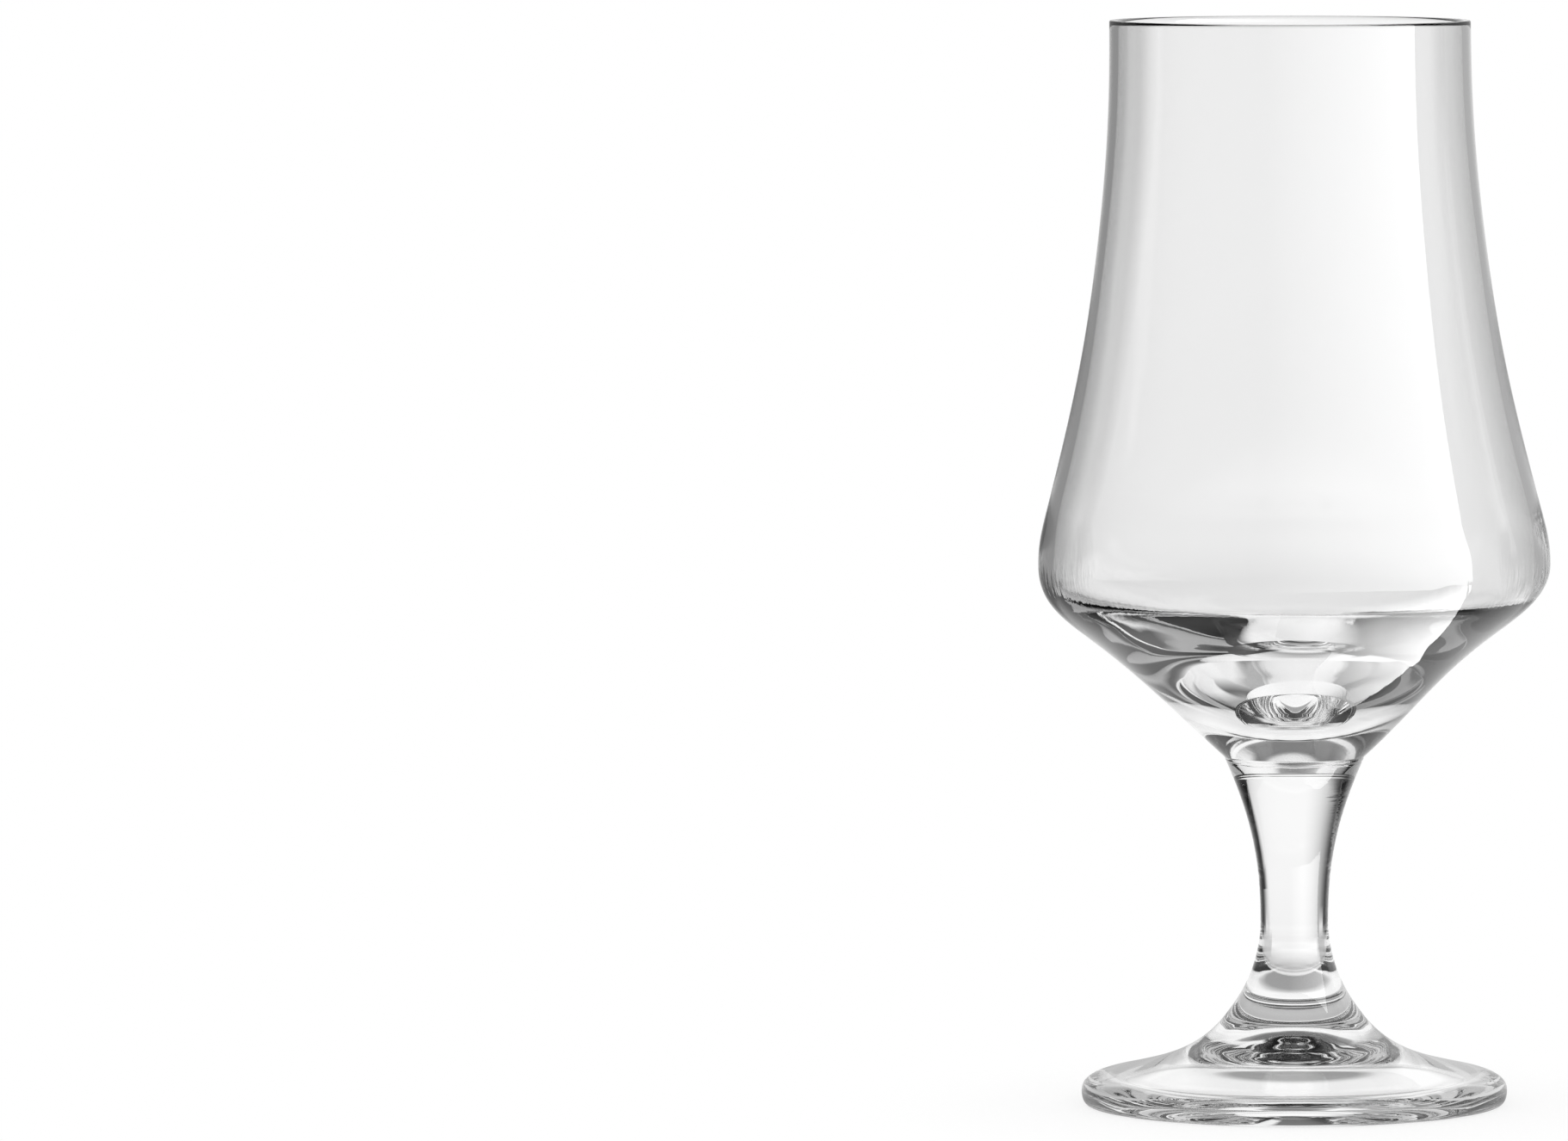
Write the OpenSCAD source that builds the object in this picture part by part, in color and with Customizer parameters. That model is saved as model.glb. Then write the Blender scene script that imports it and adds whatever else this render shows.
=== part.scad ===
// Stemmed tulip beer glass, built the way stemware is: a blown bowl, a drawn stem and a pressed foot.
// Each piece is turned about the Z axis and seats in the next one on a shallow dish, where the hot
// glass is joined. Millimetres, +Z up, the table at z = 0.

/* [Bowl outside] */
// Height of the rim above the table
rim_z = 183.9; // [181.4:0.5:188.4]
// Outside diameter of the mouth
mouth_d = 61.1; // [59:0.1:63]
// Outside diameter at the throat, where the wall starts to open
throat_d = 66.3; // [65:0.1:68]
// Height of the throat
throat_z = 143.9; // [141.4:0.5:146.9]
// Outward lean of the wall at the throat, in degrees from upright
throat_lean = 7.2; // [6:0.1:9]
// Outside diameter at the flare, just above the belly
flare_d = 82.9; // [81.2:0.1:84.2]
// Height of the flare
flare_z = 102.8; // [100.8:0.5:104.8]
// Outward lean of the wall at the flare
flare_lean = 14.5; // [12:0.1:17]
// Outside diameter of the belly, the widest ring of the glass
belly_d = 86.8; // [86.2:0.1:90]
// Height of the belly
belly_z = 91.9; // [90.9:0.1:93.9]
// Outside diameter halfway down the cone under the belly
cone_d = 66.2; // [64.2:0.1:68.2]
// Height of that ring of the cone
cone_z = 78.7; // [77.7:0.1:79.7]
// Inward lean of the cone at that ring
cone_lean = 52.5; // [50:0.1:55]
// Inward lean of the cone where it meets the stem
tip_lean = 47.8; // [45:0.1:50]

/* [Bowl inside] */
// Thickness of the rim
rim_t = 1.5; // [1.4:0.1:2]
// Rounding of the rim's inner edge
rim_in_r = 0.8; // [0.6:0.05:0.9]
// Rounding of the rim's outer edge
rim_out_r = 0.3; // [0.2:0.05:0.4]
// Wall thickness at the throat
throat_t = 1.4; // [1.2:0.1:1.6]
// Wall thickness at the flare
flare_t = 2.1; // [1.8:0.1:2.4]
// Wall thickness at the belly
belly_t = 2.5; // [2.2:0.1:2.8]
// Diameter of the heel, where the wall turns in to the floor
heel_d = 76; // [75.2:0.2:76.8]
// Height of the heel
heel_z = 86.15; // [85.75:0.1:86.75]
// Slope of the floor at the heel, in degrees from level
heel_slope = 30; // [27:0.5:33]
// Diameter of a ring halfway down the thick floor of the bowl
floor_d = 44; // [42:0.5:46]
// Height of that ring of the floor
floor_z = 77.1; // [76.5:0.1:77.7]
// Slope of the floor at that ring
floor_slope = 31.5; // [29:0.5:34]
// Diameter of the well, the bottom of the floor
well_d = 18.2; // [17:0.1:19.5]
// Height of the edge of the well
well_edge_z = 70.25; // [69.95:0.1:70.85]
// Slope of the floor at the edge of the well
well_slope = 26; // [23:0.5:28]
// Height of the lowest point inside the bowl
well_z = 68.15; // [67.65:0.1:68.85]

/* [Stem] */
// Diameter of the collar, where the bowl seats on the stem
collar_d = 23.9; // [23.1:0.1:25.1]
// Height of the collar
collar_z = 59.2; // [58.6:0.1:60.1]
// Inward lean of the stem just under the collar
collar_lean = 24.2; // [20:0.1:28]
// Diameter of the waist, the thinnest ring of the stem
waist_d = 11.5; // [10:0.1:12.5]
// Height of the waist
waist_z = 31.5; // [30.3:0.1:33.3]
// Diameter of the ankle, where the stem seats in the foot
ankle_d = 13; // [12.7:0.1:13.6]
// Height of the ankle
ankle_z = 25.3; // [24.3:0.1:26.3]
// Outward lean at the ankle
ankle_lean = 14.3; // [12:0.1:18]

/* [Foot] */
// Diameter of the instep, halfway down the flare from stem to foot
instep_d = 23.1; // [22.1:0.1:24.1]
// Height of the instep
instep_z = 15.3; // [14.7:0.1:16.2]
// Outward lean at the instep
instep_lean = 36.8; // [34:0.1:40]
// Diameter of the apron, the low dome of the foot
apron_d = 60.3; // [58.3:0.1:61.3]
// Height of the apron at that ring
apron_z = 5.8; // [5.5:0.1:6.1]
// Outward lean of the apron
apron_lean = 76.7; // [75:0.1:79]
// Diameter of the foot's rounded edge
foot_d = 72.3; // [71:0.1:74.5]
// Height of the widest ring of that edge
edge_z = 2.3; // [2.05:0.05:2.65]
// Outer diameter of the flat ring that rests on the table
rest_d = 69.8; // [67.4:0.1:70.4]
// Width of that ring
rest_w = 3.6; // [3:0.1:5]
// Diameter of the push-up under the foot
kick_d = 30; // [28:0.5:32]
// Height of the hollow underside at the edge of the push-up
kick_base_z = 5.8; // [5.4:0.1:6.2]
// Diameter of a ring halfway up the push-up
kick_mid_d = 10.6; // [9.6:0.5:12.1]
// Height of that ring
kick_mid_z = 8.5; // [8.1:0.1:8.9]
// Height of the top of the push-up
kick_z = 9.6; // [9.3:0.1:10.2]

/* [Hidden] */

// Depth of the dished seat at each hot joint
collar_dish = 2.4;
ankle_dish = 2.5;
// How far each end of a span reaches along its heading, as a share of the span's chord
reach_share = 0.375;
// Straight steps in a span, in the rounded rim and in a dished seat
span_steps = 14;
rim_steps = 10;
dish_steps = 8;
// Slope of the hollow underside at the rest ring, at the push-up's edge and halfway up its side
hollow_slope = 12.4;
kick_edge_slope = 16.9;
kick_side_slope = 21.8;
turn_fn = 128;
glass_colour = [0.86, 0.91, 0.91, 0.45];

// Direction of an outline that leans outward by so many degrees from straight down
function heading(lean) = [sin(lean), -cos(lean)];
function flip(points) = [for (i = [len(points) - 1 : -1 : 0]) points[i]];
function place(station) = [station[0], station[1]];

// Points of a smooth span between two stations [radius, height, lean], without its last point
function span(a, b) =
    let (
        p = place(a),
        q = place(b),
        reach = reach_share * norm(q - p),
        p_arm = p + reach * heading(a[2]),
        q_arm = q - reach * heading(b[2])
    )
    [for (i = [0 : span_steps - 1])
        let (t = i / span_steps, s = 1 - t)
        s * s * s * p + 3 * s * s * t * p_arm + 3 * s * t * t * q_arm + t * t * t * q];

// Points of an outline that runs smoothly through all its stations
function outline(stations) =
    let (last = len(stations) - 1)
    [for (i = [0 : last - 1]) each span(stations[i], stations[i + 1]), place(stations[last])];

// Points of a dished seat, from its edge in to the axis: a shallow ball of the given depth
function dish(r, z, depth) =
    let (ball = (r * r + depth * depth) / (2 * depth), half = asin(r / ball))
    [for (i = [0 : dish_steps])
        let (a = half * (1 - i / dish_steps))
        [ball * sin(a), z - depth + ball * (1 - cos(a))]];

// Points of a quarter round at the rim, between its corner angles in degrees
function quarter(r, z, radius, first) =
    [for (i = [0 : rim_steps])
        let (a = first - 90 * i / rim_steps)
        [r + radius * cos(a), z + radius * sin(a)]];

rim_in = quarter(mouth_d / 2 - rim_t + rim_in_r, rim_z - rim_in_r, rim_in_r, 180);
rim_out = quarter(mouth_d / 2 - rim_out_r, rim_z - rim_out_r, rim_out_r, 90);

// Points over the rim, from inside to outside, without the two that the walls already have
rim_round = [
    for (i = [1 : rim_steps]) rim_in[i],
    for (i = [0 : rim_steps - 1]) rim_out[i],
];

bowl_outside = outline([
    [mouth_d / 2, rim_z - rim_out_r, 0],
    [throat_d / 2, throat_z, throat_lean],
    [flare_d / 2, flare_z, flare_lean],
    [belly_d / 2, belly_z, 0],
    [cone_d / 2, cone_z, -cone_lean],
    [collar_d / 2, collar_z, -tip_lean],
]);

bowl_inside = outline([
    [mouth_d / 2 - rim_t, rim_z - rim_in_r, 0],
    [throat_d / 2 - throat_t, throat_z, throat_lean],
    [flare_d / 2 - flare_t, flare_z, flare_lean],
    [belly_d / 2 - belly_t, belly_z, 0],
    [heel_d / 2, heel_z, heel_slope - 90],
    [floor_d / 2, floor_z, floor_slope - 90],
    [well_d / 2, well_edge_z, well_slope - 90],
    [0, well_z, -90],
]);

stem_side = outline([
    [collar_d / 2, collar_z, -collar_lean],
    [waist_d / 2, waist_z, 0],
    [ankle_d / 2, ankle_z, ankle_lean],
]);

foot_top = outline([
    [ankle_d / 2, ankle_z, ankle_lean],
    [instep_d / 2, instep_z, instep_lean],
    [apron_d / 2, apron_z, apron_lean],
    [foot_d / 2, edge_z, 0],
    [rest_d / 2, 0, -90],
]);

foot_hollow = outline([
    [rest_d / 2 - rest_w, 0, -90 - hollow_slope],
    [kick_d / 2, kick_base_z, -90 - kick_edge_slope],
    [kick_mid_d / 2, kick_mid_z, -90 - kick_side_slope],
    [0, kick_z, -90],
]);

collar_seat = dish(collar_d / 2, collar_z, collar_dish);
ankle_seat = dish(ankle_d / 2, ankle_z, ankle_dish);

module turned(points) {
    color(glass_colour) rotate_extrude($fn = turn_fn) polygon(points);
}

module bowl() {
    turned(concat(flip(bowl_inside), rim_round, bowl_outside, collar_seat));
}

module stem() {
    turned(concat(flip(collar_seat), stem_side, ankle_seat));
}

module foot() {
    turned(concat(flip(ankle_seat), foot_top, foot_hollow));
}

bowl();
stem();
foot();
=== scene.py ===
import math

import bmesh
import bpy
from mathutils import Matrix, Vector, noise
from mathutils.geometry import interpolate_bezier


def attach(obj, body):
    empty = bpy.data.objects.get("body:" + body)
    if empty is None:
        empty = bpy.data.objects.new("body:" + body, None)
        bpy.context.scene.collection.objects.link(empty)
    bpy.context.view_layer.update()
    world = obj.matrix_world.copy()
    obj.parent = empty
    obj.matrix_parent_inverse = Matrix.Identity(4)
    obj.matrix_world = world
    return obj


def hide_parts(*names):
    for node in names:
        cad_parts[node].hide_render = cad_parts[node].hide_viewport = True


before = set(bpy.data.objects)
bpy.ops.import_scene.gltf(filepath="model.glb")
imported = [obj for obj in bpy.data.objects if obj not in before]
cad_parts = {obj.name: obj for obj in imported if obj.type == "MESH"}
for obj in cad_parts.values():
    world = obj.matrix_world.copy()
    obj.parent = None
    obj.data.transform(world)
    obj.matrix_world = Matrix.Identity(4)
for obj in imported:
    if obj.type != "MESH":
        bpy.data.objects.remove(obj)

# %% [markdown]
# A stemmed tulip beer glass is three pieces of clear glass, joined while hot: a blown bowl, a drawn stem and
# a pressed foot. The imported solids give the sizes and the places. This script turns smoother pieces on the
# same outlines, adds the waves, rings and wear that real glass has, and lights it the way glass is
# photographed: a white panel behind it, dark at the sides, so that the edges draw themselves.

MM = 0.001
scene = bpy.context.scene
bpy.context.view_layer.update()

# %% [markdown]
# The photograph was taken from about two metres with a long lens, from a little above the rim, so the mouth
# is a thin sliver and the foot a wider ellipse. The camera is pitched down to the frame's middle row. The
# shift, not a turn, puts the glass right of the middle, because a turned camera would make its sides lean.

# %% Camera
PHOTO_W = 1822
PHOTO_H = 1326
FOCAL_PX = 13958
AXIS_X_PX = 1504
HORIZON_Y_PX = -334.35
CAMERA_DISTANCE = 2030 * MM
CAMERA_HEIGHT = 235.76 * MM

pitch = math.atan((PHOTO_H / 2 - HORIZON_Y_PX) / FOCAL_PX)
camera = bpy.data.objects.new("camera", bpy.data.cameras.new("camera"))
scene.collection.objects.link(camera)
camera.data.sensor_width = 36
camera.data.lens = camera.data.sensor_width * FOCAL_PX / PHOTO_W
camera.data.shift_x = (PHOTO_W / 2 - AXIS_X_PX) / PHOTO_W
camera.location = (0, -CAMERA_DISTANCE, CAMERA_HEIGHT)
camera.rotation_euler = (math.radians(90) - pitch, 0, 0)
scene.camera = camera
print("lens mm", round(camera.data.lens, 1), "pitch deg", round(math.degrees(pitch), 2))

# %% [markdown]
# Glass like this is turned on its axis while it is soft, so each piece is an outline spun about Z. It runs
# through stations: a radius, a height, and a lean in degrees outward from straight down. A Bezier span joins
# each station to the next with its arms along the leans, as on a turner's template. A subdivided cage would
# be quicker to draw, but it would not pass through the measured rings.

# %% Outline helpers
REACH_SHARE = 0.375
STEP = 0.8
LEAST_STEPS = 10
DISH_STEPS = 12


def heading(lean):
    angle = math.radians(lean)
    return Vector((math.sin(angle), 0, -math.cos(angle)))


def outline(stations, step=STEP):
    """Points of a smooth outline through stations (radius, height, lean), in millimetres."""
    points = []
    for (r0, z0, lean0), (r1, z1, lean1) in zip(stations, stations[1:]):
        start = Vector((r0, 0, z0))
        end = Vector((r1, 0, z1))
        chord = (end - start).length
        arm0 = start + REACH_SHARE * chord * heading(lean0)
        arm1 = end - REACH_SHARE * chord * heading(lean1)
        steps = max(LEAST_STEPS, round(chord / step))
        points += interpolate_bezier(start, arm0, arm1, end, steps + 1)[:-1]
    return points + [Vector((stations[-1][0], 0, stations[-1][1]))]


def arc(centre, radius, first, last, steps):
    """Points of an arc about centre (radius, height), from one angle to another in degrees."""
    angles = [math.radians(first + (last - first) * i / steps) for i in range(steps + 1)]
    return [Vector((centre[0] + radius * math.cos(a), 0, centre[1] + radius * math.sin(a))) for a in angles]


def dish(ring, depth):
    """Points of a dished seat, from its ring (radius, height) in to the axis."""
    radius, height = ring
    ball = (radius ** 2 + depth ** 2) / (2 * depth)
    half = math.degrees(math.asin(radius / ball))
    return arc((0, height - depth + ball), ball, half - 90, -90, DISH_STEPS)


print("outline test, rim to table mm:", round(outline([(30, 183, 0), (36, 0, 0)])[-1].z, 3))

# %% [markdown]
# Spin turns a chain of edges into a wall. Each piece is several chains: its glass walls, and the seats where
# it is fused to its neighbour. They are spun one by one, so that a seat can have its own material, and then
# merged into one closed skin. A smooth wall would also round the corner at a seat, so the edges between two
# materials are marked sharp.

# %% Turning helpers
TURN_STEPS = 192
MERGE = 0.0005
WALL = 0
SEAT = 1


def turn(points, slot=WALL):
    """Spin a chain of points about the Z axis into a skin of its own."""
    bm = bmesh.new()
    verts = [bm.verts.new(p * MM) for p in points]
    edges = [bm.edges.new(pair) for pair in zip(verts, verts[1:])]
    bmesh.ops.spin(bm, geom=verts + edges, axis=(0, 0, 1), cent=(0, 0, 0), dvec=(0, 0, 0),
                   angle=math.tau, steps=TURN_STEPS, use_merge=True)
    for face in bm.faces:
        face.material_index = slot
    return bm


def smoothstep(low, high, value):
    t = min(max((value - low) / (high - low), 0), 1)
    return t * t * (3 - 2 * t)


def finish_piece(name, skins, node):
    """Merge turned skins into one closed piece, and let it stand for a CAD node."""
    mesh = bpy.data.meshes.new(name)
    bm = bmesh.new()
    for skin in skins:
        skin.to_mesh(mesh)
        skin.free()
        bm.from_mesh(mesh)
    bmesh.ops.remove_doubles(bm, verts=bm.verts, dist=MERGE * MM)
    bmesh.ops.recalc_face_normals(bm, faces=bm.faces)
    for face in bm.faces:
        face.smooth = True
    for edge in bm.edges:
        edge.smooth = len({face.material_index for face in edge.link_faces}) == 1
    open_edges = sum(1 for edge in bm.edges if len(edge.link_faces) != 2)
    bm.to_mesh(mesh)
    bm.free()
    piece = bpy.data.objects.new(name, mesh)
    scene.collection.objects.link(piece)
    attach(piece, "root")
    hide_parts(node)
    mesh.calc_loop_triangles()
    print(name, len(mesh.loop_triangles), "triangles,", open_edges, "open edges")
    return piece


print("degrees between turned points:", round(360 / TURN_STEPS, 2))

# %% [markdown]
# The rings that two pieces share are named once, so that the seats meet exactly.

# %% Shared rings
COLLAR = (11.95, 59.2)
COLLAR_DISH = 2.4
ANKLE = (6.5, 25.3)
ANKLE_DISH = 2.5
collar_seat = dish(COLLAR, COLLAR_DISH)
ankle_seat = dish(ANKLE, ANKLE_DISH)
print("collar seat to ankle seat mm:", round(collar_seat[-1].z - ankle_seat[-1].z, 2))

# %% [markdown]
# The bowl is blown: a thin wall with a fire-polished rim, a round belly, and a thick cone of solid glass
# under a floor that dips to a well. Inside and outside are separate outlines, because the wall is 1.4 mm at
# the throat and more than 11 mm under the well. The real bowl is not quite true: its mouth leans to the
# viewer's left, and its cone is fuller on that side. Both are shears of the turned wall. Faint tool rings run
# round the well.

# %% Bowl
RIM_Z = 183.9
RIM_T = 1.5
RIM_IN = 0.8
RIM_OUT = 0.3
MOUTH_R = 30.55
BELLY_Z = 91.9
MOUTH_LEAN = -0.73
LEAN_FROM_Z = 97.8
CONE_SKEW = -0.9
SKEW_Z = 80.2
WELL_RING = 1.45
WELL_RING_DEPTH = 0.006
WELL_RING_FADE = (6, 12)
WELL_STEP = 0.2
RIM_IN_STEPS = 12
RIM_OUT_STEPS = 8

bowl_outside = outline([(MOUTH_R, RIM_Z - RIM_OUT, 0), (33.15, 143.9, 7.2), (41.45, 102.8, 14.5),
                        (43.4, BELLY_Z, 0), (33.1, 78.7, -52.5), (*COLLAR, -47.8)])
bowl_inside = outline([(MOUTH_R - RIM_T, RIM_Z - RIM_IN, 0), (31.75, 143.9, 7.2), (39.35, 102.8, 14.5),
                       (40.9, BELLY_Z, 0), (38, 86.15, -60), (22, 77.1, -58.5)])
bowl_well = outline([(22, 77.1, -58.5), (9.1, 70.25, -64), (0, 68.15, -90)], WELL_STEP)

outside = turn(bowl_outside)
inside = turn(bowl_inside)
well = turn(bowl_well)
rim_in = arc((MOUTH_R - RIM_T + RIM_IN, RIM_Z - RIM_IN), RIM_IN, 180, 90, RIM_IN_STEPS)
rim_out = arc((MOUTH_R - RIM_OUT, RIM_Z - RIM_OUT), RIM_OUT, 90, 0, RIM_OUT_STEPS)
rim = turn(rim_in + rim_out)
for vert in outside.verts:
    height = vert.co.z / MM
    below = smoothstep(COLLAR[1], SKEW_Z, height)
    above = 1 - smoothstep(SKEW_Z, BELLY_Z, height)
    vert.co.x += CONE_SKEW * MM * below * above
for vert in well.verts:
    radius = vert.co.xy.length / MM
    fade = 1 - smoothstep(*WELL_RING_FADE, radius)
    vert.co.z += WELL_RING_DEPTH * MM * fade * math.cos(math.tau * radius / WELL_RING)
for skin in (outside, inside, rim):
    for vert in skin.verts:
        height = vert.co.z / MM
        vert.co.x += MOUTH_LEAN * MM * max(height - LEAN_FROM_Z, 0) / (RIM_Z - LEAN_FROM_Z)
skins = [outside, rim, inside, well, turn(collar_seat, SEAT)]
bowl = finish_piece("bowl_glass", skins, "bowl")

# %% [markdown]
# The stem was drawn down from a hot gather, so it is solid and waisted. Just under the collar two fine rings
# run round it where the stem was pressed on to the bowl. They are grooves a few hundredths of a millimetre
# deep, which is enough for glass to show them as dark lines, and they wander a little up and down. Only the
# neck needs rings that close together, so the shaft below takes every eighth point of the same outline.

# %% Stem
WELD_RINGS = (58.95, 58.35)
WELD_RING_WIDTH = 0.16
WELD_RING_DEPTH = 0.05
WELD_RING_WANDER = 0.3
WANDER_TURNS = 2.2
WELD_EDGE = 0.2
NECK_STEP = 0.08
NECK_Z = 55.6
SHAFT_STEP = 8

stem_side = outline([(*COLLAR, -24.2), (5.75, 31.5, 0), (*ANKLE, 14.3)], NECK_STEP)
neck_end = next(i for i, point in enumerate(stem_side) if point.z < NECK_Z)

neck = turn(stem_side[:neck_end + 1])
shaft = turn(stem_side[neck_end::SHAFT_STEP] + stem_side[-1:])
for vert in neck.verts:
    height = vert.co.z / MM
    around = vert.co.xy.normalized()
    for ring_height in WELD_RINGS:
        wander_at = (WANDER_TURNS * around.x, WANDER_TURNS * around.y, ring_height)
        wander = WELD_RING_WANDER * noise.noise(wander_at)
        gap = (height - ring_height - wander) / WELD_RING_WIDTH
        depth = WELD_RING_DEPTH * smoothstep(COLLAR[1], COLLAR[1] - WELD_EDGE, height)
        vert.co.xy -= around * depth * MM * math.exp(-gap * gap)
seats = [turn(collar_seat, SEAT), turn(ankle_seat, SEAT)]
stem = finish_piece("stem_glass", [neck, shaft, *seats], "stem")

# %% [markdown]
# The foot was pressed: a low dome with a rounded edge, a flat ring that it stands on, and a hollow underside
# with a push-up in the middle. The plunger left that underside rippled, and these ripples are what the eye
# sees as dark and bright threads through the dome, so they are real shape here. They follow the plunger's
# rings and wander, which a sine of the radius gives when noise warps the radius first. Extra points close
# to the rest ring's inner corner hold that corner, which smooth shading would otherwise round.

# %% Foot
RIPPLE = 3.2
RIPPLE_DEPTH = 0.012
RIPPLE_WARP = 0.7
RIPPLE_FADE = (12, 20)
WIDE_WARP = 0.16
FINE_WARP = 0.45
FINE_SHARE = 0.4
REST_RADII = (34.9, 34.6, 33.8, 33, 32.2, 31.6, 31.33, 31.3)
CORNER_HOLD = 0.1
TOP_STEP = 0.5
HOLLOW_STEP = 0.25

foot_top = outline([(*ANKLE, 14.3), (11.55, 15.3, 36.8), (30.15, 5.8, 76.7), (36.15, 2.3, 0),
                    (REST_RADII[0], 0, -90)], TOP_STEP)
foot_ring = [Vector((radius, 0, 0)) for radius in REST_RADII]
foot_hollow = outline([(REST_RADII[-1], 0, -102.4), (15, 5.8, -106.9), (5.3, 8.5, -111.8),
                       (0, 9.6, -90)], HOLLOW_STEP)
foot_hollow.insert(1, foot_hollow[0].lerp(foot_hollow[1], CORNER_HOLD))

hollow = turn(foot_hollow)
for vert in hollow.verts:
    place = vert.co / MM
    radius = place.xy.length
    wide = noise.noise(place * WIDE_WARP)
    fine = noise.noise(place * FINE_WARP)
    warp = RIPPLE_WARP * wide + FINE_SHARE * RIPPLE_WARP * fine
    fade = 1 - smoothstep(*RIPPLE_FADE, radius)
    vert.co.z += RIPPLE_DEPTH * MM * fade * math.sin(math.tau * (radius + warp) / RIPPLE)
skins = [turn(ankle_seat, SEAT), turn(foot_top), turn(foot_ring), hollow]
foot = finish_piece("foot_glass", skins, "foot")

# %% [markdown]
# Materials are node trees. One function adds a node, sets its options and feeds its inputs. Colours are
# written as sRGB hex, as a paint chart gives them, and turned to linear values for the shader.

# %% Material helpers


def linear(hex_colour):
    channels = [int(hex_colour[i:i + 2], 16) / 255 for i in (1, 3, 5)]
    return [c / 12.92 if c <= 0.04045 else ((c + 0.055) / 1.055) ** 2.4 for c in channels] + [1]


def add_node(tree, kind, options=None, inputs=None):
    """Add a node. An input is a plain value or another node's output, and stops are a ramp's grey steps."""
    node = tree.nodes.new("ShaderNode" + kind)
    for option, value in (options or {}).items():
        if option == "stops":
            while len(node.color_ramp.elements) < len(value):
                node.color_ramp.elements.new(1)
            for element, (position, grey) in zip(node.color_ramp.elements, value):
                element.position = position
                element.color = (grey, grey, grey, 1)
        else:
            setattr(node, option, value)
    for socket, value in (inputs or {}).items():
        if isinstance(value, bpy.types.NodeSocket):
            tree.links.new(value, node.inputs[socket])
        else:
            node.inputs[socket].default_value = value
    return node


def new_material(name):
    material = bpy.data.materials.new(name)
    material.use_nodes = True
    material.node_tree.nodes.clear()
    return material, material.node_tree


WHITE = linear("#FFFFFF")
print("linear mid grey:", round(linear("#808080")[0], 3))

# %% [markdown]
# All three pieces are clear soda-lime glass, IOR 1.52. What sets them apart is how each surface was made.
# Blown glass is fire-polished: long faint draw lines run down it, and the belly, which touched the mould
# first, has short upright chill wrinkles. Sizes are in millimetres, and a pattern's scale is one over its
# size. Only LINES_UPWARD is a count per metre, because the draw lines hardly change with height.

# %% Blown glass
GLASS_IOR = 1.52
CLEAR_GLASS = "#FFFFFF"
DRAW_LINE = 7
LINES_UPWARD = 12
LINE_DEPTH = 0.004
CHILL_WRINKLE = 1.6
CHILL_LENGTH = 6.25
CHILL_DEPTH = 0.03
CHILL_RISE = (83.8, 88.8)
CHILL_FALL = (95.8, 89.8)

blown_glass, tree = new_material("blown_soda_lime_glass")
place = add_node(tree, "TexCoord").outputs["Object"]
split = add_node(tree, "SeparateXYZ", None, {0: place})
across = 1 / (DRAW_LINE * MM)
lines_scale = add_node(tree, "Mapping", None, {"Vector": place, "Scale": (across, across, LINES_UPWARD)})
lines = add_node(tree, "TexNoise", None, {"Vector": lines_scale.outputs[0], "Scale": 1, "Detail": 1})
lines_bump = add_node(tree, "Bump", None, {
    "Height": lines.outputs[0], "Strength": 1, "Distance": LINE_DEPTH * MM})
across = 1 / (CHILL_WRINKLE * MM)
chill_scale = add_node(tree, "Mapping", None, {
    "Vector": place, "Scale": (across, across, 1 / (CHILL_LENGTH * MM))})
chill = add_node(tree, "TexNoise", None, {"Vector": chill_scale.outputs[0], "Scale": 1, "Detail": 2})
chill_rise = add_node(tree, "MapRange", {"interpolation_type": "SMOOTHSTEP"}, {
    "Value": split.outputs["Z"], "From Min": CHILL_RISE[0] * MM, "From Max": CHILL_RISE[1] * MM})
chill_fall = add_node(tree, "MapRange", {"interpolation_type": "SMOOTHSTEP"}, {
    "Value": split.outputs["Z"], "From Min": CHILL_FALL[0] * MM, "From Max": CHILL_FALL[1] * MM})
chill_zone = add_node(tree, "Math", {"operation": "MULTIPLY"}, {
    0: chill_rise.outputs[0], 1: chill_fall.outputs[0]})
chill_bump = add_node(tree, "Bump", None, {
    "Height": chill.outputs[0], "Strength": chill_zone.outputs[0], "Distance": CHILL_DEPTH * MM,
    "Normal": lines_bump.outputs[0]})
shader = add_node(tree, "BsdfPrincipled", None, {
    "Base Color": linear(CLEAR_GLASS), "Roughness": 0, "IOR": GLASS_IOR, "Transmission Weight": 1,
    "Normal": chill_bump.outputs[0]})
add_node(tree, "OutputMaterial", None, {"Surface": shader.outputs[0]})
print(blown_glass.name, "nodes:", len(tree.nodes))

# %% [markdown]
# Drawn glass carries cords: streaks of slightly different glass that were pulled out with it. They slant
# round the stem, and the tool that held it left a few short marks on its right side, below the neck. The
# stretch of a pattern is a count per metre: across the stem, and along the view.

# %% Drawn glass
CORD = 1.1
CORD_SLANT = -25
CORD_STRETCH = (40, 90)
CORD_DEPTH = 0.004
TOOL_MARK = 0.7
MARK_SLANT = 8
MARK_STRETCH = (90, 90)
MARK_DEPTH = 0.12
MARK_SIDE = (4.5, 6)
MARK_RISE = (40.5, 47.5)
MARK_FALL = (54.6, 53.1)

drawn_glass, tree = new_material("drawn_soda_lime_glass")
place = add_node(tree, "TexCoord").outputs["Object"]
cord_scale = add_node(tree, "Mapping", None, {
    "Vector": place, "Rotation": (math.radians(CORD_SLANT), 0, 0),
    "Scale": (*CORD_STRETCH, 1 / (CORD * MM))})
cords = add_node(tree, "TexNoise", None, {"Vector": cord_scale.outputs[0], "Scale": 1, "Detail": 2})
cord_bump = add_node(tree, "Bump", None, {
    "Height": cords.outputs[0], "Strength": 1, "Distance": CORD_DEPTH * MM})
split = add_node(tree, "SeparateXYZ", None, {0: place})
mark_scale = add_node(tree, "Mapping", None, {
    "Vector": place, "Rotation": (0, math.radians(MARK_SLANT), 0),
    "Scale": (*MARK_STRETCH, 1 / (TOOL_MARK * MM))})
marks = add_node(tree, "TexNoise", None, {"Vector": mark_scale.outputs[0], "Scale": 1, "Detail": 2})
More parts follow.
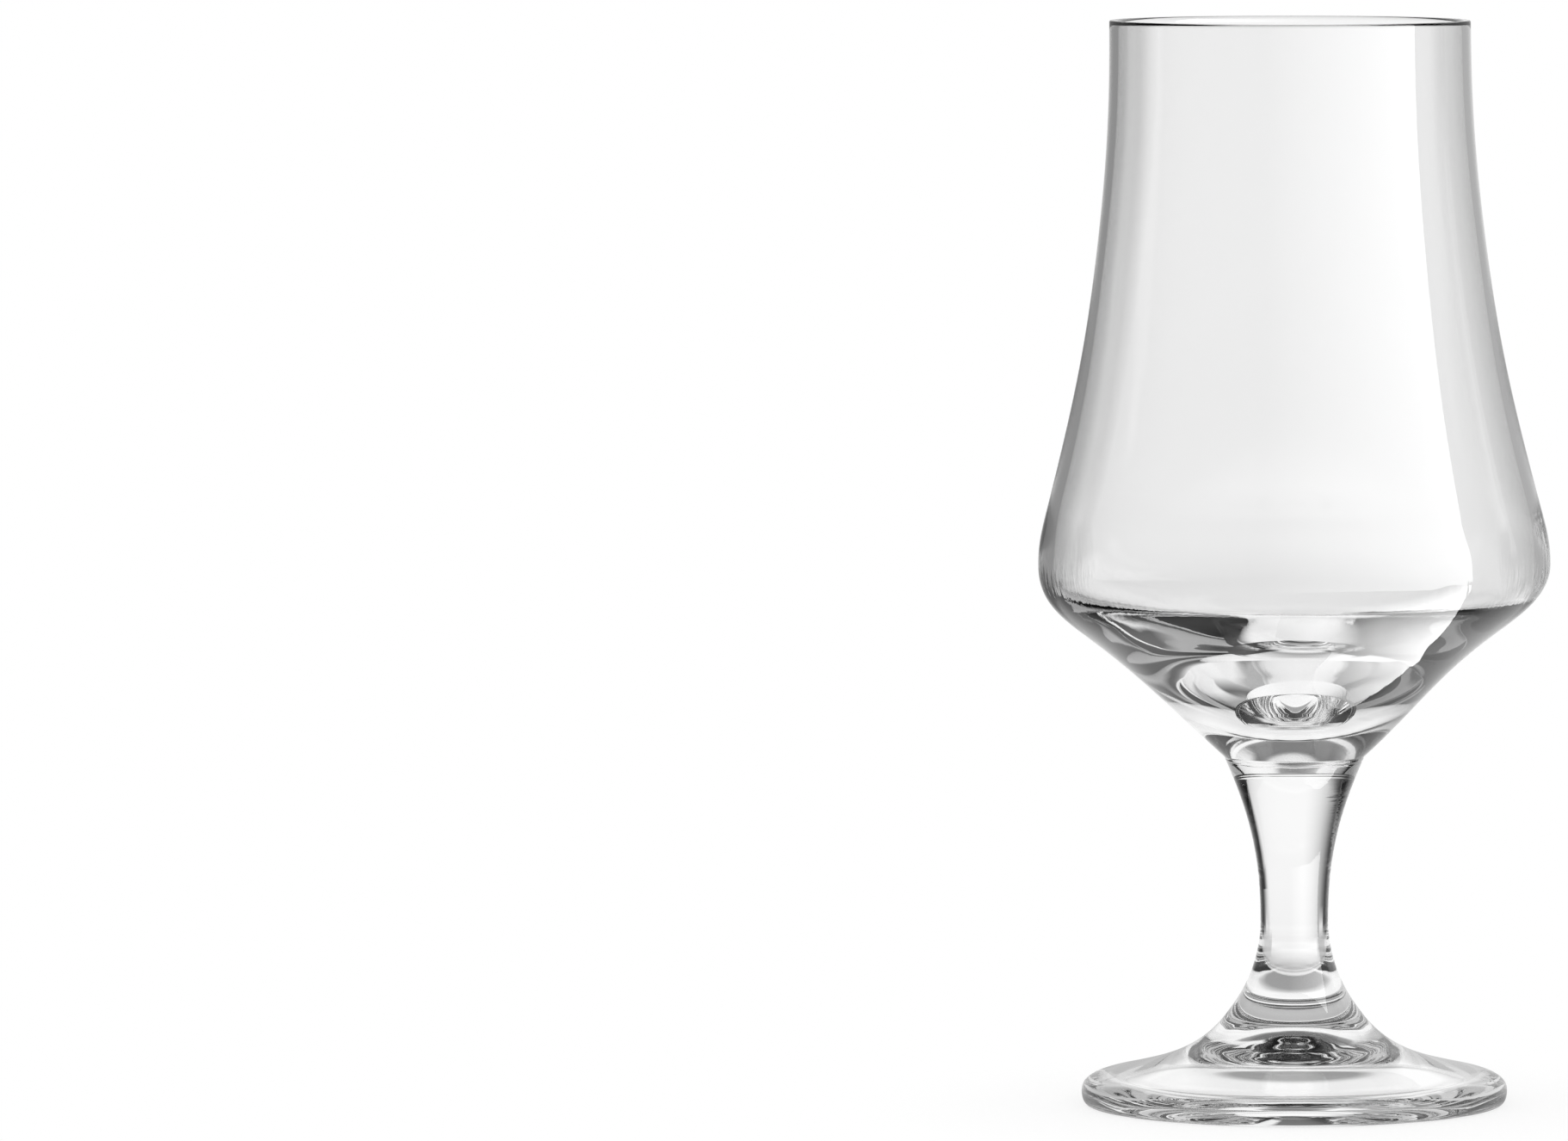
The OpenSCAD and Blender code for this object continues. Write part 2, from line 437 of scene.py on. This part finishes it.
mark_side = add_node(tree, "MapRange", {"interpolation_type": "SMOOTHSTEP"}, {
    "Value": split.outputs["X"], "From Min": MARK_SIDE[0] * MM, "From Max": MARK_SIDE[1] * MM})
mark_rise = add_node(tree, "MapRange", {"interpolation_type": "SMOOTHSTEP"}, {
    "Value": split.outputs["Z"], "From Min": MARK_RISE[0] * MM, "From Max": MARK_RISE[1] * MM})
mark_fall = add_node(tree, "MapRange", {"interpolation_type": "SMOOTHSTEP"}, {
    "Value": split.outputs["Z"], "From Min": MARK_FALL[0] * MM, "From Max": MARK_FALL[1] * MM})
mark_zone = add_node(tree, "Math", {"operation": "MULTIPLY"}, {
    0: mark_rise.outputs[0], 1: mark_fall.outputs[0]})
mark_share = add_node(tree, "Math", {"operation": "MULTIPLY"}, {
    0: mark_zone.outputs[0], 1: mark_side.outputs[0]})
mark_bump = add_node(tree, "Bump", None, {
    "Height": marks.outputs[0], "Strength": mark_share.outputs[0], "Distance": MARK_DEPTH * MM,
    "Normal": cord_bump.outputs[0]})
shader = add_node(tree, "BsdfPrincipled", None, {
    "Base Color": linear(CLEAR_GLASS), "Roughness": 0, "IOR": GLASS_IOR, "Transmission Weight": 1,
    "Normal": mark_bump.outputs[0]})
add_node(tree, "OutputMaterial", None, {"Surface": shader.outputs[0]})
print(drawn_glass.name, "nodes:", len(tree.nodes))

# %% [markdown]
# Pressed glass keeps the faint unevenness of the chilled mould. The ring that the foot stands on is scuffed
# by every table it has slid over, so it is dull in patches while the rest is polished.

# %% Pressed glass
CHILL_WAVE = 5
WAVE_DEPTH = 0.01
SCUFF = 3
SCUFF_RANGE = (0.58, 0.7)
SCUFF_ROUGHNESS = 0.4
RING_ZONE = (0.3, 0.1)

pressed_glass, tree = new_material("pressed_soda_lime_glass")
place = add_node(tree, "TexCoord").outputs["Object"]
split = add_node(tree, "SeparateXYZ", None, {0: place})
waves = add_node(tree, "TexNoise", None, {"Vector": place, "Scale": 1 / (CHILL_WAVE * MM), "Detail": 2})
wave_bump = add_node(tree, "Bump", None, {
    "Height": waves.outputs[0], "Strength": 1, "Distance": WAVE_DEPTH * MM})
scuffs = add_node(tree, "TexNoise", None, {"Vector": place, "Scale": 1 / (SCUFF * MM), "Detail": 4})
scuffed = add_node(tree, "MapRange", None, {
    "Value": scuffs.outputs[0], "From Min": SCUFF_RANGE[0], "From Max": SCUFF_RANGE[1],
    "To Max": SCUFF_ROUGHNESS})
ring_zone = add_node(tree, "MapRange", None, {
    "Value": split.outputs["Z"], "From Min": RING_ZONE[0] * MM, "From Max": RING_ZONE[1] * MM})
dull = add_node(tree, "Math", {"operation": "MULTIPLY"}, {0: scuffed.outputs[0], 1: ring_zone.outputs[0]})
shader = add_node(tree, "BsdfPrincipled", None, {
    "Base Color": linear(CLEAR_GLASS), "Roughness": dull.outputs[0], "IOR": GLASS_IOR,
    "Transmission Weight": 1, "Normal": wave_bump.outputs[0]})
add_node(tree, "OutputMaterial", None, {"Surface": shader.outputs[0]})
print(pressed_glass.name, "nodes:", len(tree.nodes))

# %% [markdown]
# At a hot joint the glass runs together and no surface is left. The seats are still there in the mesh, so
# that each piece is closed, and they get a material that lets light straight through.

# %% Fused seats
fused_seat, tree = new_material("fused_glass_seat")
clear = add_node(tree, "BsdfTransparent", None, {"Color": WHITE})
add_node(tree, "OutputMaterial", None, {"Surface": clear.outputs[0]})
for piece, material in ((bowl, blown_glass), (stem, drawn_glass), (foot, pressed_glass)):
    piece.data.materials.append(material)
    piece.data.materials.append(fused_seat)
print("pieces with materials:", [piece.name for piece in (bowl, stem, foot)])

# %% [markdown]
# Clear glass shows only what is round it, so the surroundings are half of its look. The world is plain
# white. What the glass itself sees is a light tent: a white panel behind, fading to dark cloth at both
# sides, above and in front. The tent is hidden from the camera. Its panels hang on an empty that always faces
# the camera, as if the glass stood on a turntable in front of them, so every side is lit alike.

# %% World and turntable
world = bpy.data.worlds.new("white_studio")
world.use_nodes = True
world.node_tree.nodes["Background"].inputs["Color"].default_value = WHITE
scene.world = world

turntable = bpy.data.objects.new("turntable", None)
scene.collection.objects.link(turntable)
facing = turntable.constraints.new("LOCKED_TRACK")
facing.target = camera
facing.track_axis = "TRACK_NEGATIVE_Y"
facing.lock_axis = "LOCK_Z"
print("world:", world.name, "turntable faces:", facing.target.name)


def stage_object(name, bm, material, on_turntable=True):
    mesh = bpy.data.meshes.new(name)
    bm.to_mesh(mesh)
    bm.free()
    mesh.materials.append(material)
    piece = bpy.data.objects.new(name, mesh)
    scene.collection.objects.link(piece)
    if on_turntable:
        piece.parent = turntable
        piece.visible_camera = False
        piece.visible_diffuse = False
        piece.visible_shadow = False
    print(name, "made, on turntable:", on_turntable)
    return piece


# %% [markdown]
# The tent's brightness was read off the glass in the photograph: by the angle round the glass from straight
# behind, and by the height angle. The right side falls off later and faster than the left. A second panel at
# the back right lifts the light there up to a steep angle. The floor is lit evenly, whatever the glass sees.

# %% Light tent
TENT_RADIUS = 4
FLOOR_SHARE = 1
ROUND_LIGHT = [(-180, 0.04), (-90, 0.05), (-52, 0.08), (-45, 0.2), (-39, 0.36), (-33, 0.53), (-27, 0.7),
               (-21, 0.83), (-15, 0.93), (-9, 1), (34, 1), (37, 0.95), (41, 0.76), (47, 0.41), (52, 0.14),
               (57, 0.05), (90, 0.03), (180, 0.03)]
HEIGHT_LIGHT = [(-90, 0.5), (-40, 0.75), (-28, 0.85), (-10, 0.95), (0, 1), (26, 1), (31, 0.4), (40, 0.2),
                (90, 0.06)]
PANEL_ROUND = [(14, 0), (22, 0.95), (63, 0.95), (71, 0)]
PANEL_HEIGHT = [(2, 0), (6, 1), (50, 1), (56, 0)]

tent_cloth, tree = new_material("light_tent")
place = add_node(tree, "TexCoord").outputs["Object"]
split = add_node(tree, "SeparateXYZ", None, {0: place})
turn_angle = add_node(tree, "Math", {"operation": "ARCTAN2"}, {
    0: split.outputs["X"], 1: split.outputs["Y"]})
turn_share = add_node(tree, "MapRange", None, {
    "Value": turn_angle.outputs[0], "From Min": -math.pi, "From Max": math.pi})
round_light = add_node(tree, "ValToRGB", {"stops": [((a + 180) / 360, v) for a, v in ROUND_LIGHT]},
                       {0: turn_share.outputs[0]})
height_sine = add_node(tree, "Math", {"operation": "DIVIDE"}, {0: split.outputs["Z"], 1: TENT_RADIUS})
height_angle = add_node(tree, "Math", {"operation": "ARCSINE"}, {0: height_sine.outputs[0]})
height_share = add_node(tree, "MapRange", None, {
    "Value": height_angle.outputs[0], "From Min": -math.pi / 2, "From Max": math.pi / 2})
height_light = add_node(tree, "ValToRGB", {"stops": [((a + 90) / 180, v) for a, v in HEIGHT_LIGHT]},
                        {0: height_share.outputs[0]})
light = add_node(tree, "Math", {"operation": "MULTIPLY"}, {
    0: round_light.outputs[0], 1: height_light.outputs[0]})
panel_round = add_node(tree, "ValToRGB", {"stops": [((a + 180) / 360, v) for a, v in PANEL_ROUND]},
                       {0: turn_share.outputs[0]})
panel_height = add_node(tree, "ValToRGB", {"stops": [((a + 90) / 180, v) for a, v in PANEL_HEIGHT]},
                        {0: height_share.outputs[0]})
panel = add_node(tree, "Math", {"operation": "MULTIPLY"}, {
    0: panel_round.outputs[0], 1: panel_height.outputs[0]})
lit = add_node(tree, "Math", {"operation": "MAXIMUM"}, {0: light.outputs[0], 1: panel.outputs[0]})
path = add_node(tree, "LightPath")
for_floor = add_node(tree, "Math", {"operation": "MINIMUM"}, {
    0: path.outputs["Diffuse Depth"], 1: FLOOR_SHARE})
strength = add_node(tree, "Math", {"operation": "MAXIMUM"}, {0: lit.outputs[0], 1: for_floor.outputs[0]})
glow = add_node(tree, "Emission", None, {"Color": WHITE, "Strength": strength.outputs[0]})
add_node(tree, "OutputMaterial", None, {"Surface": glow.outputs[0]})
tent_cloth.cycles.emission_sampling = "NONE"

bm = bmesh.new()
bmesh.ops.create_uvsphere(bm, u_segments=96, v_segments=48, radius=TENT_RADIUS)
tent = stage_object("light_tent", bm, tent_cloth)

# %% [markdown]
# A tall soft light stands at the front right. Its reflection is the pale veil over the right half of the
# bowl: it fades in from the middle and ends in a hard edge, where the light's far side is. A curved card
# gives that: an upright edge spun through a quarter turn, brighter towards its far side.

# %% Soft light
SOFT_RADIUS = 0.9
SOFT_FROM = -15
SOFT_TO = 85
SOFT_LOW = -0.3
SOFT_HIGH = 1.1
SOFT_STRENGTH = 4.5
SOFT_STEPS = 40

soft_cloth, tree = new_material("soft_light")
place = add_node(tree, "TexCoord").outputs["Object"]
split = add_node(tree, "SeparateXYZ", None, {0: place})
front = add_node(tree, "Math", {"operation": "MULTIPLY"}, {0: split.outputs["Y"], 1: -1})
soft_angle = add_node(tree, "Math", {"operation": "ARCTAN2"}, {0: split.outputs["X"], 1: front.outputs[0]})
soft_ramp = add_node(tree, "MapRange", None, {
    "Value": soft_angle.outputs[0], "From Min": math.radians(SOFT_FROM), "From Max": math.radians(SOFT_TO),
    "To Max": SOFT_STRENGTH})
glow = add_node(tree, "Emission", None, {"Color": WHITE, "Strength": soft_ramp.outputs[0]})
add_node(tree, "OutputMaterial", None, {"Surface": glow.outputs[0]})
soft_cloth.cycles.emission_sampling = "NONE"

bm = bmesh.new()
start = math.radians(SOFT_FROM)
x = SOFT_RADIUS * math.sin(start)
y = -SOFT_RADIUS * math.cos(start)
ends = [bm.verts.new((x, y, z)) for z in (SOFT_LOW, SOFT_HIGH)]
side = bm.edges.new(ends)
bmesh.ops.spin(bm, geom=ends + [side], axis=(0, 0, 1), cent=(0, 0, 0), dvec=(0, 0, 0),
               angle=math.radians(SOFT_TO - SOFT_FROM), steps=SOFT_STEPS)
soft_light = stage_object("soft_light", bm, soft_cloth)
soft_light.visible_transmission = False

# %% [markdown]
# Two grey cards stand just behind the bowl, one at each side and hidden from the camera. The thin wall bends
# light the most at its edges, and there it shows the cards as the dark lines that draw its outline. So each
# card's inner edge follows the bowl's outline as the camera sees it. The left card is darker. Both fade at
# the inner edge and at the low end, so that no hard line shows in the glass.

# %% Edge cards
CARD_BACK = 45 * MM
CARD_IN = 15 * MM
CARD_OUT = 150 * MM
CARD_TOP = 206 * MM
CARD_LOW = (62.7 * MM, 70.7 * MM)
CARD_LEFT = ("dark_edge_card", -1, 0.27, (-5.3, 11))
CARD_RIGHT = ("grey_edge_card", 1, 0.42, (-4.7, 13))
EDGE_STOPS = 24

spread = (CAMERA_DISTANCE + CARD_BACK) / CAMERA_DISTANCE
bowl_edge = [point * MM for point in bowl_outside if point.z >= BELLY_Z]
edge_reach = [(CAMERA_HEIGHT + (p.z - CAMERA_HEIGHT) * spread, p.x * spread) for p in bowl_edge[::-1]]
edge_low = edge_reach[0][0]
edge_high = edge_reach[-1][0]
edge_stops = edge_reach[::math.ceil(len(edge_reach) / EDGE_STOPS)] + edge_reach[-1:]

for name, side, grey, fade in (CARD_LEFT, CARD_RIGHT):
    card_face, tree = new_material(name)
    place = add_node(tree, "TexCoord").outputs["Object"]
    split = add_node(tree, "SeparateXYZ", None, {0: place})
    height_share = add_node(tree, "MapRange", None, {
        "Value": split.outputs["Z"], "From Min": edge_low, "From Max": edge_high})
    half_width = add_node(tree, "ValToRGB", {"stops": [
        ((z - edge_low) / (edge_high - edge_low), r) for z, r in edge_stops]}, {0: height_share.outputs[0]})
    out = add_node(tree, "Math", {"operation": "MULTIPLY"}, {0: split.outputs["X"], 1: side})
    offset = add_node(tree, "Math", {"operation": "SUBTRACT"}, {
        0: out.outputs[0], 1: half_width.outputs[0]})
    side_share = add_node(tree, "MapRange", None, {
        "Value": offset.outputs[0], "From Min": fade[0] * MM, "From Max": fade[1] * MM})
    low_share = add_node(tree, "MapRange", {"interpolation_type": "SMOOTHSTEP"}, {
        "Value": split.outputs["Z"], "From Min": CARD_LOW[0], "From Max": CARD_LOW[1]})
    card_share = add_node(tree, "Math", {"operation": "MULTIPLY"}, {
        0: side_share.outputs[0], 1: low_share.outputs[0]})
    glow = add_node(tree, "Emission", None, {"Color": WHITE, "Strength": grey})
    clear = add_node(tree, "BsdfTransparent", None, {"Color": WHITE})
    mixed = add_node(tree, "MixShader", None, {
        0: card_share.outputs[0], 1: clear.outputs[0], 2: glow.outputs[0]})
    add_node(tree, "OutputMaterial", None, {"Surface": mixed.outputs[0]})
    card_face.cycles.emission_sampling = "NONE"
    bm = bmesh.new()
    corners = [(CARD_IN, CARD_LOW[0]), (CARD_OUT, CARD_LOW[0]), (CARD_OUT, CARD_TOP), (CARD_IN, CARD_TOP)]
    bm.faces.new([bm.verts.new((side * x, CARD_BACK, z)) for x, z in corners])
    stage_object(name, bm, card_face)

# %% [markdown]
# The cone under the belly faces down, so it mirrors a low light instead: a small card that lies beside the
# stem and shines upward. Its far edge is the bright bent line across the right of the cone.

# %% Low light
LOW_Z = 42.7
LOW_EDGE = [(-5, -26), (10, -19), (21, -11.5), (26.5, -7.5), (31, -2.7), (34.3, 1.9), (36.8, 6.1),
            (39.1, 11), (41.7, 12), (45.8, 7.5), (52.3, -0.8), (61.7, -9.3), (77.4, -17.3), (107, -25.2),
            (184, -36.2)]
LOW_FRONT = -75
LOW_STRENGTH = 7
LOW_ACROSS = (-5, 35)
LOW_AHEAD = (-70, -25)

low_cloth, tree = new_material("low_light")
place = add_node(tree, "TexCoord").outputs["Object"]
split = add_node(tree, "SeparateXYZ", None, {0: place})
across = add_node(tree, "MapRange", {"interpolation_type": "SMOOTHSTEP"}, {
    "Value": split.outputs["X"], "From Min": LOW_ACROSS[0] * MM, "From Max": LOW_ACROSS[1] * MM})
ahead = add_node(tree, "MapRange", {"interpolation_type": "SMOOTHSTEP"}, {
    "Value": split.outputs["Y"], "From Min": LOW_AHEAD[0] * MM, "From Max": LOW_AHEAD[1] * MM,
    "To Max": LOW_STRENGTH})
low_ramp = add_node(tree, "Math", {"operation": "MULTIPLY"}, {0: across.outputs[0], 1: ahead.outputs[0]})
glow = add_node(tree, "Emission", None, {"Color": WHITE, "Strength": low_ramp.outputs[0]})
clear = add_node(tree, "BsdfTransparent", None, {"Color": WHITE})
under = add_node(tree, "NewGeometry").outputs["Backfacing"]
mixed = add_node(tree, "MixShader", None, {0: under, 1: glow.outputs[0], 2: clear.outputs[0]})
add_node(tree, "OutputMaterial", None, {"Surface": mixed.outputs[0]})
low_cloth.cycles.emission_sampling = "NONE"

bm = bmesh.new()
back_edge = [bm.verts.new((x * MM, y * MM, LOW_Z * MM)) for x, y in LOW_EDGE]
edges = [bm.edges.new(pair) for pair in zip(back_edge, back_edge[1:])]
extruded = bmesh.ops.extrude_edge_only(bm, edges=edges)["geom"]
for vert in [item for item in extruded if isinstance(item, bmesh.types.BMVert)]:
    vert.co.y = LOW_FRONT * MM
bm.normal_update()
bmesh.ops.reverse_faces(bm, faces=[face for face in bm.faces if face.normal.z < 0])
low_light = stage_object("low_light", bm, low_cloth)
low_light.visible_transmission = False

# %% [markdown]
# Five small flags stand close behind the glass. The black one keeps the back right panel out of the stem,
# so that its left edge stays a clean dark line. Mirror images leave it out, or it would show as a block. A
# pale grey pair keeps the foot's sides from going white. A darker pair, closer in, does so for its neck.

# %% Flags
FLAGS = [
    ("stem_flag", 0.04, 20, (10, 45), (36.5, 66.7), "X", (10, 15)),
    ("foot_flag_left", 0.8, 48, (-44, -30), (0, 30), "Z", (30, 22)),
    ("foot_flag_right", 0.8, 48, (30, 44), (0, 30), "Z", (30, 22)),
    ("neck_flag_left", 0.55, 31, (-34, -14), (0, 24), "Z", (24, 16)),
    ("neck_flag_right", 0.65, 31, (14, 34), (0, 24), "Z", (24, 16)),
]

for name, grey, back, across, upward, fade_axis, fade in FLAGS:
    flag_cloth, tree = new_material(name)
    place = add_node(tree, "TexCoord").outputs["Object"]
    split = add_node(tree, "SeparateXYZ", None, {0: place})
    share = add_node(tree, "MapRange", None, {
        "Value": split.outputs[fade_axis], "From Min": fade[0] * MM, "From Max": fade[1] * MM})
    glow = add_node(tree, "Emission", None, {"Color": WHITE, "Strength": grey})
    clear = add_node(tree, "BsdfTransparent", None, {"Color": WHITE})
    mixed = add_node(tree, "MixShader", None, {
        0: share.outputs[0], 1: clear.outputs[0], 2: glow.outputs[0]})
    add_node(tree, "OutputMaterial", None, {"Surface": mixed.outputs[0]})
    flag_cloth.cycles.emission_sampling = "NONE"
    bm = bmesh.new()
    left, right = across
    bottom, top = upward
    corners = [(left, bottom), (right, bottom), (right, top), (left, top)]
    bm.faces.new([bm.verts.new((x * MM, back * MM, z * MM)) for x, z in corners])
    flag = stage_object(name, bm, flag_cloth)
    flag.visible_glossy = name != "stem_flag"

# %% [markdown]
# A last card lies flat behind the foot, dark underneath: a sheet of painted shade. The lowest band of the
# foot looks up at it, and so shows a dark line of painted shade that grounds the glass. From above it is
# clear, because the stem looks down there.

# %% Base card
BASE_Z = 4.2
BASE_LEFT = -14
BASE_RIGHT = 36
BASE_NEAR = 35.5
BASE_FAR = 48
BASE_SHADE_GREY = 0.12

base_shade_cloth, tree = new_material("base_card")
# The card's underside glows dark grey: painted shade for the foot's lowest band.
glow = add_node(tree, "Emission", None, {"Color": WHITE, "Strength": BASE_SHADE_GREY})
clear = add_node(tree, "BsdfTransparent", None, {"Color": WHITE})
above = add_node(tree, "NewGeometry").outputs["Backfacing"]
mixed = add_node(tree, "MixShader", None, {0: above, 1: glow.outputs[0], 2: clear.outputs[0]})
add_node(tree, "OutputMaterial", None, {"Surface": mixed.outputs[0]})
base_shade_cloth.cycles.emission_sampling = "NONE"

bm = bmesh.new()
corners = [(BASE_LEFT, BASE_NEAR), (BASE_LEFT, BASE_FAR), (BASE_RIGHT, BASE_FAR), (BASE_RIGHT, BASE_NEAR)]
face = bm.faces.new([bm.verts.new((x * MM, y * MM, BASE_Z * MM)) for x, y in corners])
face.normal_update()
print("base card faces down:", face.normal.z < 0)
stage_object("base_card", bm, base_shade_cloth)

# %% [markdown]
# The glass stands on a plain white floor that takes its soft shadow. The camera sees it fade to pure white a
# hand's width away. The glass sees only that near part of it, and beyond it the tent. What the glass sees of
# the floor under it is painted shade, ring by ring, dark where little light gets in: below the push-up and at
# the rest ring. The floor lies a tenth of a millimetre low, so that it shares no face with that ring.

# %% Floor
FLOOR_NEAR = 0.05
FLOOR_FAR = 0.12
# Painted shade under the glass, seen only through the glass: radius in millimetres, then brightness.
PAINTED_FLOOR_SHADE = [(0, 0.35), (11, 0.38), (13, 0.65), (14.5, 0.93), (16, 1), (25, 1), (28, 0.75), (31, 0.45),
               (36, 0.45), (42, 0.6), (55, 0.8), (70, 1)]
FLOOR_DROP = 0.1
FLOOR_SIZE = 12
SHADOW_NEAR = 0.03
SHADOW_FAR = 0.08
SHADOW_WHITE = 0.75

floor_white, tree = new_material("white_floor")
place = add_node(tree, "TexCoord").outputs["Object"]
reach = add_node(tree, "VectorMath", {"operation": "LENGTH"}, {0: place})
far = add_node(tree, "MapRange", {"interpolation_type": "SMOOTHSTEP"},
               {"Value": reach.outputs["Value"], "From Min": FLOOR_NEAR, "From Max": FLOOR_FAR})
path = add_node(tree, "LightPath")
shadow_end = add_node(tree, "MapRange", {"interpolation_type": "SMOOTHSTEP"}, {
    "Value": reach.outputs["Value"], "From Min": SHADOW_NEAR, "From Max": SHADOW_FAR,
    "To Min": SHADOW_WHITE})
seen_far = add_node(tree, "Math", {"operation": "MULTIPLY"},
                    {0: path.outputs["Is Camera Ray"], 1: shadow_end.outputs[0]})
by_glass = add_node(tree, "Math", {"operation": "MAXIMUM"},
                    {0: path.outputs["Is Glossy Ray"], 1: path.outputs["Is Transmission Ray"]})
through = add_node(tree, "Math", {"operation": "MULTIPLY"}, {0: by_glass.outputs[0], 1: far.outputs[0]})
shade_end = PAINTED_FLOOR_SHADE[-1][0]
shade_share = add_node(tree, "MapRange", None, {
    "Value": reach.outputs["Value"], "From Max": shade_end * MM})
shade = add_node(tree, "ValToRGB", {"stops": [(r / shade_end, v) for r, v in PAINTED_FLOOR_SHADE]},
                 {0: shade_share.outputs[0]})
# The glass sees this painted shade in place of the floor's own shading.
painted_shade_glow = add_node(tree, "Emission", None, {"Color": shade.outputs[0], "Strength": 1})
paint = add_node(tree, "BsdfDiffuse", None, {"Color": linear("#FEFEFE")})
white = add_node(tree, "Emission", None, {"Color": WHITE, "Strength": 1})
clear = add_node(tree, "BsdfTransparent", None, {"Color": WHITE})
bright = add_node(tree, "MixShader", None, {
    0: seen_far.outputs[0], 1: paint.outputs[0], 2: white.outputs[0]})
near = add_node(tree, "MixShader", None, {
    0: by_glass.outputs[0], 1: bright.outputs[0], 2: painted_shade_glow.outputs[0]})
mixed = add_node(tree, "MixShader", None, {
    0: through.outputs[0], 1: near.outputs[0], 2: clear.outputs[0]})
add_node(tree, "OutputMaterial", None, {"Surface": mixed.outputs[0]})
floor_white.cycles.emission_sampling = "NONE"

bm = bmesh.new()
bmesh.ops.create_grid(bm, x_segments=1, y_segments=1, size=FLOOR_SIZE)
bmesh.ops.translate(bm, verts=bm.verts, vec=(0, 0, -FLOOR_DROP * MM))
floor = stage_object("white_floor", bm, floor_white, on_turntable=False)

# %% [markdown]
# Light crosses many surfaces inside the glass, so the paths may bounce more often than Blender's default
# allows. The view transform is Standard, so that white stays white.

# %% Light paths, view and sizes
scene.cycles.max_bounces = 32
scene.cycles.transmission_bounces = 32
scene.cycles.glossy_bounces = 16
scene.cycles.transparent_max_bounces = 32
scene.view_settings.view_transform = "Standard"
